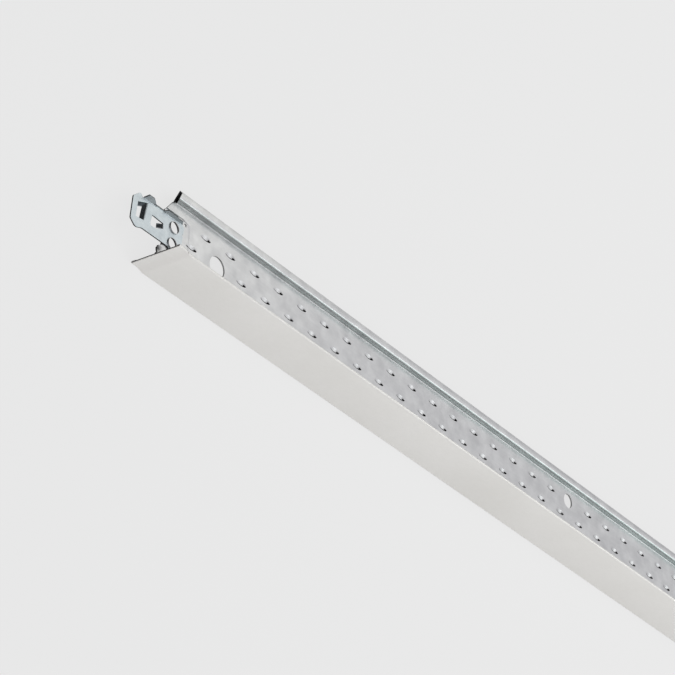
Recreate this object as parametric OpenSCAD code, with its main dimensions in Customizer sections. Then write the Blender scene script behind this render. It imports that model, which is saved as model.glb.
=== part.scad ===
// Ceiling grid tee, stitched double web with a hollow bulb, a hemmed painted face and two end clips.
// Millimetres. The section stands on its painted face while it is drawn: X runs along the tee from the
// first flange end, Y across it (front is -Y), Z up from the painted face. It is then laid on its back,
// resting on one hem and one bulb corner, with the origin on the floor under the middle of the outline.

/* [Length] */
// Grid module, centre line to centre line of the carrying runners
module_l = 1200; // [600:300:1800]
// Spacing of the small web holes, measured from the module line
hole_pitch = 300; // [150:150:300]

/* [Section] */
// Width of the painted face, hem to hem
flange_w = 24; // [20:0.5:35]
// Height from the painted face to the top of the bulb
tee_h = 33; // [32:0.5:43]
// Thickness of the roll formed tee strip
strip_t = 0.35; // [0.25:0.05:0.5]
// Thickness of the painted cap strip
cap_t = 0.3; // [0.2:0.05:0.4]
// Reach of the hem lip over the flange
hem_w = 2.2; // [1.5:0.1:3.5]
// Width of the bulb
bulb_w = 6.5; // [5:0.1:9]
// Height of the bulb
bulb_h = 4.1; // [3.5:0.1:6]
// Outer corner radius of the bulb
bulb_r = 0.8; // [0.6:0.05:1.2]
// Inner radius of the bends at the web's foot and head
bend_r = 0.5; // [0.3:0.05:0.8]

/* [Flange ends] */
// Lift of the flange end, so that it rides over the runner's flange
joggle_h = 1.1; // [0.6:0.1:1.6]
// Length of the lifted part
joggle_l = 5; // [3:0.5:8]
// Length of the slope down to the main face
joggle_run = 2; // [1.5:0.25:4]

/* [Web holes] */
// Diameter of the hanger hole near each end
hanger_d = 9.2; // [6:0.1:10]
// Distance of the hanger hole from the flange end
hanger_x = 35.5; // [30:0.5:60]
// Height of the hanger hole
hanger_z = 13.8; // [10:0.1:16]
// Diameter of the small holes on the module lines
small_d = 6.7; // [4:0.1:7]
// Height of the small holes, which is also the upper stitch row
upper_row_z = 22.4; // [20:0.1:23.5]

/* [Stitches] */
// Spacing of the stitches along a row
stitch_pitch = 15.4; // [12:0.1:20]
// First stitch of the lower row from the flange end
stitch_x = 20.2; // [20:0.1:30]
// Height of the lower stitch row
lower_row_z = 14.1; // [10:0.1:16]
// Length of one lanced stitch
stitch_l = 5.4; // [4:0.1:6]
// Height of one lanced stitch
stitch_h = 2; // [1:0.1:2.5]
// How far the deep end of a stitch is pushed out of the web
stitch_depth = 0.5; // [0.2:0.05:0.6]

/* [Web ends] */
// Set back of the web's end behind the clip
web_back = 3; // [2.6:0.1:5]
// Set back of the web's foot under the clip
foot_back = 0.9; // [0.1:0.1:2.5]
// Height at which the slanted cut leaves the upright end
slant_z = 23; // [20:0.1:24]
// Set back gained per unit of height on the slanted cut
slant_rise = 0.75; // [0.3:0.05:0.9]
// Set back of the bulb's end at its underside, over the web
bulb_back = 7.7; // [6:0.1:9]
// Set back gained per unit of height on the bulb's end
bulb_rise = 0.4; // [0.2:0.05:0.6]
// Set back gained per unit of width on the bulb's end
bulb_skew = 0.65; // [0:0.05:0.8]
// How much deeper the front wall and underside of the bulb are cut
mouth_depth = 1.6; // [0.5:0.1:2]

/* [End clip] */
// Thickness of the clip strip
clip_t = 0.6; // [0.4:0.05:0.8]
// Reach of the clip's tip past the flange end
clip_reach = 16.4; // [16:0.1:18]
// Length of the clip plate on the web
clip_seat = 14.2; // [13.5:0.1:15]
// Height of the clip's lower edge
clip_z = 7.7; // [6:0.1:8.5]
// Height of the clip plate
clip_h = 13.3; // [13:0.1:14.5]
// Depth of the swaged seat that lets the clip into the web
seat_depth = 0.4; // [0.2:0.05:0.5]
// Inner diameter of the drawn collars that stake the clip
collar_d = 4.7; // [3:0.1:4.8]
// Wall of the drawn collars
collar_t = 0.2; // [0.2:0.05:0.4]
// How far the collars stand out of the clip's face
collar_proud = 0.6; // [0.3:0.1:0.8]
// Width of the bead that is rolled over at the collar's mouth
collar_rim = 0.1; // [0.1:0.05:0.3]
// Play between a collar and the clip's hole
collar_play = 0.05; // [0.02:0.01:0.1]
// Bend of the locking tongues out of the plate, degrees
tongue_bend = 42; // [30:1:50]
// Bend of the edge ears towards the front, degrees
ear_bend = 63; // [40:1:80]

/* [Hidden] */
$fn = 48;
// reach of the cutting tools past the part
far = 100;
// overlap that joins two solids or clears a cut
lap = 1;
flange_l = module_l - flange_w;
web_t = 2 * strip_t;
hem_t = 2 * cap_t + strip_t;
hem_r = hem_t / 2;
flange_z = cap_t;
flange_top = cap_t + strip_t;
bulb_z = tee_h - bulb_h;
outer_bend = bend_r + strip_t;
// height where the swept foot of the web meets the straight web
splice_z = 6;
// where the plain web ends and its bends start
foot_z = flange_top + joggle_h + bend_r;
head_z = bulb_z - bend_r;
low_y = flange_w / 2 - hem_r;
// the lean that puts the lifted hem's corner and the round bulb corner on the floor
touch_z = joggle_h + hem_t;
rest_y = flange_w / 2 - (bulb_w / 2 - bulb_r);
rest_z = tee_h - bulb_r - touch_z;
lean = atan2(rest_y, rest_z) - asin(bulb_r / sqrt(rest_y * rest_y + rest_z * rest_z));
drop = cos(lean) * flange_w / 2 + sin(lean) * touch_z;
back_y = -sin(lean) * flange_w / 2;
front_y = sin(lean) * (bulb_w / 2 - bulb_r) + cos(lean) * (tee_h - bulb_r) + bulb_r;
// where the clip's faces lie, front at clip_y
clip_back_y = -strip_t + seat_depth;
clip_y = clip_back_y - clip_t;
clip_top = clip_z + clip_h;
// the two collars, the lower one a little nearer to the end
collars = [[8.1, clip_z + 2.15], [8.5, clip_z + 9.6]];
collar_outer = collar_d + 2 * collar_t;
collar_flare = 0.7 * web_t;
// the lobe that carries the clip's lower edge round the lower collar
lobe_x = 5.7;
lobe_drop = 1.3;
// the seat reaches past the clip's edges and is cut off at its upper corner
seat_x = clip_seat + 3.55;
seat_low = clip_z - lobe_drop - 0.4;
seat_high = clip_top + 3;
seat_corner = [3.75, 1.35];
// the square pilot hole beside the clip's upper rear corner
pilot = 1.3;
pilot_x = clip_seat + 1.1;
pilot_z = clip_top + 1.2;
// the web's foot climbs to the upright end in two slopes
foot_top = clip_z - 2.5;
foot_mid = clip_z - 1.3;
// the clip's blunt nose and its wider head behind it
nose_run = 2.75;
nose_low = 1.25;
nose_high = 2;
head_x = -9.8;
neck_run = 2.6;
head_drop = 1;
head_rise = 0.9;
notch = 0.5;
// the clip's rear edge, which leans back as it climbs, and the round nick in it
rear_low = 1.3;
rear_mid = 0.6;
rear_h = 5;
rear_lean = 0.2;
rear_chamfer = 0.9;
nick_d = 1;
nick_z = clip_z + 8.9;
// the slanted rear edge of the first window, which its tongue hangs on
hinge_x = -8.75;
hinge_low = 3.8;
hinge_high = 1.1;
hinge_run = 1.4;
hinge_h = clip_h - hinge_low - hinge_high;
hinge_tilt = atan2(hinge_run, hinge_h);
window_l = 4.7;
window_fall = 2.2;
// the second window and its short upright rear edge
latch_x = 2.4;
latch_low = 6;
latch_h = 2.2;
latch_l = 7.3;
latch_run = 3.9;
latch_drop = 2;
// widths of the three tongues before they are bent
tongue_w = 1.9;
arm_w = 3.7;
arm_h = 1.9;
latch_w = 2.7;
// how far tongues and ears are rooted in the plate
root = 0.15;
ear_root = 0.3;
knee = joggle_l + joggle_run;
fold = tan(atan2(joggle_h, joggle_run) / 2);

// a round cornered rectangle, centred across, standing on v = 0
module rounded(w, h, r) {
    translate([-w / 2 + r, 0])
        square([w - 2 * r, h]);
    translate([-w / 2, r])
        square([w, h - 2 * r]);
    for (s = [-1, 1], v = [r, h - r])
        translate([s * (w / 2 - r), v])
            circle(r);
}

// the concave round beside the web, opening away from it, with its flat on v = 0
module inner_bend() {
    for (s = [0, 1])
        mirror([s, 0])
            difference() {
                translate([strip_t, 0])
                    square([bend_r, bend_r]);
                translate([strip_t + bend_r, bend_r])
                    circle(bend_r);
            }
}

// the notch between the two strips where they bend apart, with its wide side on v = 0
module outer_notch() {
    difference() {
        translate([-outer_bend, 0])
            square([2 * outer_bend, outer_bend]);
        for (s = [-1, 1])
            translate([s * outer_bend, outer_bend])
                circle(outer_bend);
    }
}

// straight web and the hollow bulb
module head_section() {
    difference() {
        union() {
            translate([-strip_t, splice_z - lap])
                square([web_t, bulb_z + strip_t - splice_z + lap]);
            translate([0, bulb_z])
                rounded(bulb_w, bulb_h, bulb_r);
            translate([0, bulb_z])
                mirror([0, 1])
                    inner_bend();
        }
        translate([0, bulb_z + strip_t])
            rounded(bulb_w - 2 * strip_t, bulb_h - 2 * strip_t, bulb_r - strip_t);
        translate([0, bulb_z + strip_t])
            mirror([0, 1])
                outer_notch();
    }
}

// a section drawn across and up becomes a bar along X from a to b
module bar(a, b) {
    translate([a, 0, 0])
        rotate([90, 0, 90])
            linear_extrude(b - a)
                children();
}

// side view of a strip between two heights over the painted face, lifted at the end, on to length l
module lifted(h0, h1, l) {
    polygon([[0, joggle_h + h0], [joggle_l + fold * h0, joggle_h + h0], [knee + fold * h0, h0], [l, h0],
        [l, h1], [knee + fold * h1, h1], [joggle_l + fold * h1, joggle_h + h1], [0, joggle_h + h1]]);
}

// the same again turned end for end
module both_ends() {
    children();
    translate([flange_l, 0, 0])
        rotate([0, 0, 180])
            children();
}

// a flat side view, drawn along and up, becomes a plate between y0 and y1
module plate(y0, y1) {
    translate([0, y1, 0])
        rotate([90, 0, 0])
            linear_extrude(y1 - y0)
                children();
}

// flange halves and the web's foot along the main run
module foot_section() {
    difference() {
        union() {
            translate([-low_y, flange_z])
                square([2 * low_y, strip_t]);
            translate([-strip_t, flange_z])
                square([web_t, splice_z - flange_z]);
            translate([0, flange_top])
                inner_bend();
        }
        translate([0, flange_z])
            outer_notch();
    }
}

// painted strip along the main run, both edges hemmed over the flange
module cap_section() {
    difference() {
        union() {
            translate([-low_y, 0])
                square([2 * low_y, hem_t]);
            for (s = [-1, 1])
                translate([s * low_y, hem_r])
                    circle(hem_r);
        }
        translate([-low_y, cap_t])
            square([2 * low_y, strip_t]);
        translate([-flange_w / 2 + hem_w, cap_t])
            square([flange_w - 2 * hem_w, hem_t]);
    }
}

// flange and web foot over their whole length
module flange_solid() {
    bar(knee + lap, flange_l - knee - lap)
        foot_section();
    both_ends() {
        plate(-low_y, low_y)
            lifted(flange_z, flange_top, knee + 2 * lap);
        plate(-strip_t, strip_t)
            lifted(flange_z, splice_z, knee + 2 * lap);
    }
}

// painted strip over its whole length, its hems pressed square on the lifted ends
module cap_solid() {
    bar(knee + lap, flange_l - knee - lap)
        cap_section();
    both_ends()
        difference() {
            plate(-flange_w / 2, flange_w / 2)
                lifted(0, hem_t, knee + 2 * lap);
            plate(-low_y, low_y)
                lifted(cap_t, flange_top, knee + 3 * lap);
            plate(-flange_w / 2 + hem_w, flange_w / 2 - hem_w)
                lifted(cap_t, hem_t + lap, knee + 3 * lap);
        }
}

// all that lies before the bulb's slanted end, set back from the flange end
module before_bulb_end(back) {
    turn = atan(bulb_skew);
    translate([back, 0, bulb_z])
        rotate([0, 0, -turn])
            rotate([0, atan(bulb_rise * cos(turn)), 0])
                translate([-far, -far / 2, -far / 2])
                    cube(far);
}

// everything that the cropping die takes off the web and bulb at one end
module end_crop() {
    plate(-flange_w, flange_w)
        polygon([[-far, foot_z], [foot_back, foot_z], [foot_back, foot_top], [web_back / 2, foot_mid],
            [web_back, clip_z], [web_back, slant_z], [web_back + slant_rise * (head_z - slant_z), head_z],
            [-far, head_z]]);
    plate(-strip_t, strip_t)
        polygon([[-far, 0], [foot_back, 0], [foot_back, foot_top], [-far, foot_top]]);
    intersection() {
        before_bulb_end(bulb_back);
        translate([-far / 2, -far / 2, head_z])
            cube(far);
    }
    intersection() {
        before_bulb_end(bulb_back + mouth_depth);
        translate([-far / 2, -strip_t - far, head_z])
            cube([far, far, bulb_h + bend_r - strip_t]);
    }
}

// outline of the swaged seat
module seat_outline() {
    polygon([[0, seat_low], [seat_x, seat_low], [seat_x, seat_high - seat_corner[1]],
        [seat_x - seat_corner[0], seat_high], [0, seat_high]]);
}

// one lance, seen from above: flush at its start, pushed back at its end
module lance(x, z, depth) {
    translate([x - stitch_l / 2, 0, z - stitch_h / 2])
        linear_extrude(stitch_h)
            polygon([[0, 0], [stitch_l, depth], [stitch_l, 0]]);
}

// true where a stitch at x would run into a hole of the same row
function near_hole(x, hole_x, d) = abs(x - hole_x) < d / 2 + stitch_l / 2;
function small_x(x) = round((x + flange_w / 2) / hole_pitch) * hole_pitch - flange_w / 2;
function near_small(x) = near_hole(x, small_x(x), small_d);
function near_hanger(x) = near_hole(x, hanger_x, hanger_d) || near_hole(x, flange_l - hanger_x, hanger_d);

// all lances of both rows, the upper row half a pitch on
module lances(depth) {
    last = flange_l - stitch_x;
    for (x = [stitch_x:stitch_pitch:last])
        if (!near_hanger(x))
            lance(x, lower_row_z, depth);
    for (x = [stitch_x + stitch_pitch / 2:stitch_pitch:last])
        if (!near_small(x))
            lance(x, upper_row_z, depth);
}

// a round tool along Y
module through(x, z, d, y0, y1) {
    translate([x, y0, z])
        rotate([-90, 0, 0])
            cylinder(d = d, h = y1 - y0);
}

// a round hole through the whole web
module web_hole(x, z, d) {
    through(x, z, d, -flange_w / 2, flange_w / 2);
}

// the funnel that a collar leaves in the back of the seat
module funnel(x, z) {
    translate([x, strip_t + seat_depth, z])
        rotate([90, 0, 0])
            cylinder(d1 = collar_d + 2 * collar_flare, d2 = collar_d, h = collar_flare);
}

// a collar drawn through the clip, with a bead rolled over at its mouth
module collar(x, z) {
    mouth_y = clip_y - collar_proud;
    difference() {
        union() {
            through(x, z, collar_outer, mouth_y, clip_back_y);
            through(x, z, collar_outer + 2 * collar_rim, mouth_y, mouth_y + collar_t);
        }
        through(x, z, collar_d, mouth_y - lap, clip_back_y + lap);
    }
}

module tee_solid() {
    difference() {
        union() {
            flange_solid();
            bar(0, flange_l)
                head_section();
            translate([0, strip_t, 0])
                lances(stitch_depth);
            both_ends()
                plate(strip_t, strip_t + seat_depth)
                    seat_outline();
        }
        translate([0, -strip_t, 0])
            lances(stitch_depth);
        both_ends() {
            plate(-strip_t - lap, -strip_t + seat_depth)
                seat_outline();
            end_crop();
            web_hole(hanger_x, hanger_z, hanger_d);
            plate(-flange_w / 2, flange_w / 2)
                translate([pilot_x, pilot_z])
                    square(pilot, center = true);
            for (c = collars) {
                web_hole(c[0], c[1], collar_d);
                funnel(c[0], c[1]);
            }
        }
        for (m = [hole_pitch:hole_pitch:module_l - hole_pitch])
            web_hole(m - flange_w / 2, upper_row_z, small_d);
    }
    both_ends()
        for (c = collars)
            collar(c[0], c[1]);
}

// outer loop of the clip plate
module clip_blank() {
    nose_x = -clip_reach;
    neck_x = head_x - neck_run;
    polygon([[nose_x, clip_z + nose_low], [nose_x + nose_run, clip_z - head_drop],
        [neck_x, clip_z - head_drop], [head_x, clip_z],
        [lobe_x, clip_z], [lobe_x + lobe_drop, clip_z - lobe_drop],
        [clip_seat - rear_low, clip_z - lobe_drop], [clip_seat - rear_mid, clip_z + rear_h],
        [clip_seat + rear_lean, clip_top - rear_chamfer], [clip_seat + rear_lean - rear_chamfer, clip_top],
        [head_x, clip_top], [head_x - notch, clip_top - notch],
        [head_x - 3 * notch, clip_top + head_rise], [neck_x, clip_top + head_rise],
        [nose_x + notch, clip_top - nose_high]]);
}

// first window, with the slanted hinge of its tongue
module nose_window() {
    rear_top = clip_top - hinge_high;
    polygon([[hinge_x - window_l, clip_z + hinge_low - notch], [hinge_x, clip_z + hinge_low],
        [hinge_x + hinge_run, rear_top], [hinge_x - window_l + notch, rear_top - window_fall]]);
}

// second window, with the short hinge of the latch tongue
module latch_window() {
    low = clip_z + latch_low;
    high = low + latch_h;
    polygon([[latch_x - latch_l, low - window_fall], [latch_x - latch_run, low - latch_drop],
        [latch_x, low], [latch_x, high],
        [latch_x - latch_l + notch, high + notch], [latch_x - latch_l, low - notch]]);
}

// side view of the clip plate with its windows, its staking holes and the nick in its rear edge
module clip_outline() {
    difference() {
        clip_blank();
        nose_window();
        latch_window();
        translate([clip_seat, nick_z])
            circle(d = nick_d);
        for (c = collars)
            translate(c)
                circle(d = collar_outer + 2 * collar_play);
    }
}

// a tongue hinged on a line through x and z that leans along the plate, pushed to the back
module tongue(x, z, w, h, tilt) {
    translate([x + root, clip_y, z + root])
        rotate([0, tilt, 0])
            rotate([0, 0, -tongue_bend])
                translate([-w, 0, 0])
                    cube([w, clip_t, h - 2 * root]);
}

// an edge ear hinged a little under the plate's top edge, leaning to the front
module ear(x0, x1, cut0, cut1, reach) {
    translate([0, clip_back_y, clip_top - ear_root])
        rotate([ear_bend, 0, 0])
            plate(-clip_t, 0)
                polygon([[x0, -ear_root], [x1, -ear_root], [x1 - cut1, reach], [x0 + cut0, reach]]);
}

// the bent tongues: a tall one, the longer arm at its top, and the latch
module tongues() {
    low = clip_z + hinge_low;
    arm_up = hinge_h - arm_h;
    tongue(x = hinge_x, z = low, w = tongue_w, h = hinge_h, tilt = hinge_tilt);
    tongue(x = hinge_x + arm_up * tan(hinge_tilt), z = low + arm_up, w = arm_w, h = arm_h, tilt = hinge_tilt);
    tongue(x = latch_x, z = clip_z + latch_low, w = latch_w, h = latch_h, tilt = 0);
}

// the bent ears along the top edge, with a low lip between the first two
module ears() {
    ear(x0 = head_x, x1 = -2.4, cut0 = 1, cut1 = 3.4, reach = 2.6);
    ear(x0 = -4, x1 = 2.8, cut0 = 0, cut1 = 0, reach = 0.9);
    ear(x0 = 1.6, x1 = 9.2, cut0 = 1.5, cut1 = 2.4, reach = 2);
    ear(x0 = 8.9, x1 = 13, cut0 = 0.4, cut1 = 0.9, reach = 1.7);
}

module clip_solid() {
    plate(clip_y, clip_back_y)
        clip_outline();
    tongues();
    ears();
}

// laid on its back on the floor
module laid() {
    translate([-flange_l / 2, -(back_y + front_y) / 2, drop])
        rotate([-90 - lean, 0, 0])
            children();
}

module tee_body() {
    color([0.72, 0.73, 0.73])
        laid()
            tee_solid();
}

module face_cap() {
    color([0.9, 0.9, 0.88])
        laid()
            cap_solid();
}

module clip_a() {
    color([0.68, 0.73, 0.76])
        laid()
            clip_solid();
}

module clip_b() {
    color([0.68, 0.73, 0.76])
        laid()
            translate([flange_l, 0, 0])
                rotate([0, 0, 180])
                    clip_solid();
}

tee_body();
face_cap();
clip_a();
clip_b();
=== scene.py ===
"""Looks of a stitched ceiling grid tee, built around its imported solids.

Every piece is drawn in the tee's own millimetres: X runs along the tee from its first flange end, Y across
it (the front is -Y) and Z up from the painted face. One matrix then lays the tee on its back on the floor.
"""

from __future__ import annotations

import logging
import math
from dataclasses import dataclass, field, replace
from enum import Enum
from typing import Any, Callable, Iterable, Sequence

import bmesh
import bpy
from mathutils import Matrix, Vector
from mathutils.geometry import delaunay_2d_cdt, tessellate_polygon


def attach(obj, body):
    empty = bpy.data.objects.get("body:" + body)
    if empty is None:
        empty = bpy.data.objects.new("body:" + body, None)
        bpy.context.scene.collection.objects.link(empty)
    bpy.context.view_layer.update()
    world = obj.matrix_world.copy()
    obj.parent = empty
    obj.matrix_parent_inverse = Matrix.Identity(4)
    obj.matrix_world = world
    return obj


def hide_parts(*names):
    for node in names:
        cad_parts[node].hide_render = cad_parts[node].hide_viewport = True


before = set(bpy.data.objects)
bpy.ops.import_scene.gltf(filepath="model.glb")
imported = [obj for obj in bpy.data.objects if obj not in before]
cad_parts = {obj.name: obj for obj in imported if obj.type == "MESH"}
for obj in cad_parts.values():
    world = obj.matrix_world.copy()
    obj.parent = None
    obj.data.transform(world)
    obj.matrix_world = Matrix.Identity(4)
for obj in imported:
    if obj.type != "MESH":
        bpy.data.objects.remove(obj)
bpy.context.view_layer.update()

LOG = logging.getLogger("ceiling_grid_tee")
MM = 0.001
# A bend sharper than this keeps a hard edge
SHARP_DEG = 22.0
# Share of an edge's length by which the far side of its wall is probed
BEYOND = 0.05
# Points nearer than this, in millimetres, are one point to the triangulation
SAME_POINT = 1e-5
# Most of an edge that the rounding of one corner may take up
CORNER_SHARE = 0.4
# Least divisor of a corner's shift, so that a sharp corner doesn't shoot out when its loop is moved
MITRE_LEAST = 0.5
# Chords in a round hole, and in the larger hanger hole
HOLE_STEPS = 40
HANGER_STEPS = 56
# Name of the attribute that marks the torn faces of a stitch, which take the nearly black painted shade
TORN_SHADE_MASK = "torn"
# The sRGB curve: a straight toe, then a power with an offset
BYTE_MAX = 255
SRGB_TOE = 0.04045
SRGB_SLOPE = 12.92
SRGB_OFFSET = 0.055
SRGB_POWER = 2.4

Flat = tuple[float, float]
Solid = tuple[float, float, float]
Corners = tuple[int, ...]
Points = tuple[Flat, ...]
Depth = Callable[[float, float], float]
Place = Callable[[Solid], Solid]


class Slot(Enum):
    """The record's material slots."""

    STRIP = "galvanised_strip"
    PAINT = "painted_cap"
    CLIP = "zinc_clip"


class Face(Enum):
    """What a face of a sheet is: the rolled surface, the sheared edge or the wall of a punched hole."""

    SURFACE = 0
    EDGE = 1
    BORE = 2


# Sizes


@dataclass(frozen=True)
class TeeSizes:
    """Sizes of the tee in millimetres, those of the part's source but for the softer joggle."""

    flange_l: float = 1176.0
    flange_w: float = 24.0
    tee_h: float = 33.0
    strip_t: float = 0.35
    cap_t: float = 0.3
    hem_w: float = 2.2
    bulb_w: float = 6.5
    bulb_h: float = 4.1
    bulb_r: float = 0.8
    bend_r: float = 0.5
    joggle_h: float = 1.1
    joggle_l: float = 2.6
    joggle_run: float = 4.8
    joggle_steps: int = 8
    hanger_d: float = 9.2
    hanger_x: float = 35.5
    hanger_z: float = 13.8
    small_d: float = 6.7
    hole_pitch: float = 300.0
    upper_row_z: float = 22.4
    lower_row_z: float = 14.1
    stitch_pitch: float = 15.4
    stitch_x: float = 20.2
    stitch_l: float = 5.4
    web_back: float = 3.0
    foot_back: float = 0.9
    foot_top: float = 5.2
    clip_z: float = 7.7
    clip_h: float = 13.3
    clip_t: float = 0.6
    seat_depth: float = 0.4
    slant_z: float = 23.0
    slant_rise: float = 0.75
    bulb_back: float = 7.7
    bulb_rise: float = 0.4
    bulb_skew: float = 0.65
    mouth_depth: float = 1.6
    # Where that mouth begins, in strip thicknesses from the middle and from the top
    mouth_side: float = 1.01
    mouth_top: float = 1.5

    @property
    def hem_t(self) -> float:
        """Thickness of the hem: two layers of cap strip around the flange."""
        return 2 * self.cap_t + self.strip_t

    @property
    def flange_top(self) -> float:
        """Height of the flange's upper side."""
        return self.cap_t + self.strip_t

    @property
    def low_y(self) -> float:
        """Half width of the flange inside its hems."""
        return (self.flange_w - self.hem_t) / 2

    @property
    def bulb_z(self) -> float:
        """Height of the bulb's underside."""
        return self.tee_h - self.bulb_h

    @property
    def clip_back_y(self) -> float:
        """Where the clip's back lies in its swaged seat."""
        return self.seat_depth - self.strip_t

    @property
    def clip_y(self) -> float:
        """Where the clip's front face lies."""
        return self.clip_back_y - self.clip_t

    @property
    def clip_top(self) -> float:
        """Height of the clip plate's upper edge."""
        return self.clip_z + self.clip_h

    def lift(self, x: float) -> float:
        """Height that the flange end is lifted by.

        Args:
            x: place along the tee.

        Returns:
            The lift, in millimetres.
        """
        inward = min(x, self.flange_l - x) - self.joggle_l
        share = min(max(inward / self.joggle_run, 0.0), 1.0)
        return self.joggle_h * (1 - share * share * (3 - 2 * share))

    def stations(self) -> list[float]:
        """Places along the tee where its lifted ends need a ring.

        Returns:
            The places in rising order.
        """
        count = self.joggle_steps
        steps = [self.joggle_l + self.joggle_run * i / count for i in range(count + 1)]
        near = [0.0, self.joggle_l / 2] + steps
        return near + [self.flange_l - x for x in reversed(near)]

    def web_cut(self, z: float) -> float:
        """Set back of the web's cropped end at a height."""
        return self.web_back + self.slant_rise * max(z - self.slant_z, 0.0)

    def bulb_cut(self, y: float, z: float) -> float:
        """Set back of the bulb's slanted end, deeper on its front half.

        Args:
            y: place across the tee.
            z: height.

        Returns:
            The set back from the flange end.
        """
        back = self.bulb_back + self.bulb_rise * (z - self.bulb_z) + self.bulb_skew * y
        in_mouth = y < -self.mouth_side * self.strip_t and z < self.tee_h - self.mouth_top * self.strip_t
        return back + self.mouth_depth if in_mouth else back

    def small_holes(self) -> list[float]:
        """Places of the small holes along the tee."""
        count = round((self.flange_l + self.flange_w) / self.hole_pitch) - 1
        return [self.hole_pitch * (i + 1) - self.flange_w / 2 for i in range(count)]

    def hanger_holes(self) -> list[float]:
        """Places of the hanger holes along the tee."""
        return [self.hanger_x, self.flange_l - self.hanger_x]

    def stitches(self) -> list[Flat]:
        """Middles of all stitches.

        Returns:
            Pairs of place along the tee and height, without those that would run into a hole.
        """
        found = []
        rows = (
            (self.stitch_x, self.lower_row_z, self.hanger_holes(), self.hanger_d),
            (self.stitch_x + self.stitch_pitch / 2, self.upper_row_z, self.small_holes(), self.small_d),
        )
        for first, height, holes, hole_d in rows:
            room = (hole_d + self.stitch_l) / 2
            x = first
            while x <= self.flange_l - self.stitch_x:
                if all(abs(x - hole) >= room for hole in holes):
                    found.append((x, height))
                x += self.stitch_pitch
        return found

    def laid(self) -> Matrix:
        """The matrix from the tee's millimetres to metres on the floor.

        Returns:
            The matrix that lays the tee on one lifted hem and one bulb corner.
        """
        touch_z = self.joggle_h + self.hem_t
        rest_y = self.flange_w / 2 - (self.bulb_w / 2 - self.bulb_r)
        rest_z = self.tee_h - self.bulb_r - touch_z
        lean = math.atan2(rest_y, rest_z) - math.asin(self.bulb_r / math.hypot(rest_y, rest_z))
        drop = math.cos(lean) * self.flange_w / 2 + math.sin(lean) * touch_z
        back_y = -math.sin(lean) * self.flange_w / 2
        front_y = (
            math.sin(lean) * (self.bulb_w / 2 - self.bulb_r)
            + math.cos(lean) * (self.tee_h - self.bulb_r)
            + self.bulb_r
        )
        place = Vector((-self.flange_l / 2, -(back_y + front_y) / 2, drop))
        turn = Matrix.Rotation(-math.pi / 2 - lean, 4, "X")
        return Matrix.Scale(MM, 4) @ Matrix.Translation(place) @ turn

    def turned(self, point: Solid) -> Solid:
        """A point of the first end at the same place of the second end."""
        return (self.flange_l - point[0], -point[1], point[2])


# Drawing helpers


def arc(middle: Flat, radius: float, start: float, end: float, steps: int) -> list[Flat]:
    """Points of an arc.

    Args:
        middle: its centre.
        radius: its radius.
        start: first angle in degrees.
        end: last angle in degrees.
        steps: number of chords.

    Returns:
        The points from start to end.
    """
    angles = [math.radians(start + (end - start) * i / steps) for i in range(steps + 1)]
    return [(middle[0] + radius * math.cos(a), middle[1] + radius * math.sin(a)) for a in angles]


def ring(middle: Flat, diameter: float, steps: int) -> list[Flat]:
    """Points of a whole circle."""
    return arc(middle, diameter / 2, 0.0, 360.0, steps)[:-1]


def rounded(corners: Sequence[Flat], radius: float, steps: int = 4) -> list[Flat]:
    """A polygon with its corners rounded.

    Args:
        corners: the polygon.
        radius: the largest radius, less where an edge is short.
        steps: chords for each corner.

    Returns:
        The rounded polygon.
    """
    result: list[Flat] = []
    count = len(corners)
    for i in range(count):
        here = Vector(corners[i])
        back = Vector(corners[i - 1]) - here
        on = Vector(corners[(i + 1) % count]) - here
        reach = min(radius, CORNER_SHARE * back.length, CORNER_SHARE * on.length)
        start = here + back.normalized() * reach
        end = here + on.normalized() * reach
        for k in range(steps + 1):
            t = k / steps
            p = start * (1 - t) ** 2 + here * (2 * t * (1 - t)) + end * t**2
            result.append((p.x, p.y))
    return result


def inset(loop: Sequence[Flat], by: float) -> list[Flat]:
    """A loop moved sideways.

    Args:
        loop: a closed loop that runs anticlockwise.
        by: how far it moves to its left, inwards.

    Returns:
        The moved loop.
    """
    result = []
    count = len(loop)
    for i in range(count):
        a = (Vector(loop[i]) - Vector(loop[i - 1])).normalized()
        b = (Vector(loop[(i + 1) % count]) - Vector(loop[i])).normalized()
        left = Vector((-a.y - b.y, a.x + b.x))
        left = left / max(left.length_squared / 2, MITRE_LEAST)
        result.append((loop[i][0] + left.x * by, loop[i][1] + left.y * by))
    return result


@dataclass
class Region:
    """A closed loop that can tell what lies inside it."""

    loop: Sequence[Flat]

    def __post_init__(self) -> None:
        """Keeps the loop's box, so that most points are told apart at once."""
        xs, zs = zip(*self.loop)
        self.box = (min(xs), max(xs), min(zs), max(zs))

    def holds(self, x: float, z: float) -> bool:
        """Whether a point lies inside.

        Args:
            x: the point's first coordinate.
            z: its second coordinate.

        Returns:
            True if it does.
        """
        if not (self.box[0] <= x <= self.box[1] and self.box[2] <= z <= self.box[3]):
            return False
        inside = False
        last = self.loop[-1]
        for here in self.loop:
            if (here[1] > z) != (last[1] > z):
                cross = here[0] + (z - here[1]) * (last[0] - here[0]) / (last[1] - here[1])
                inside ^= x < cross
            last = here
        return inside


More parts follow.
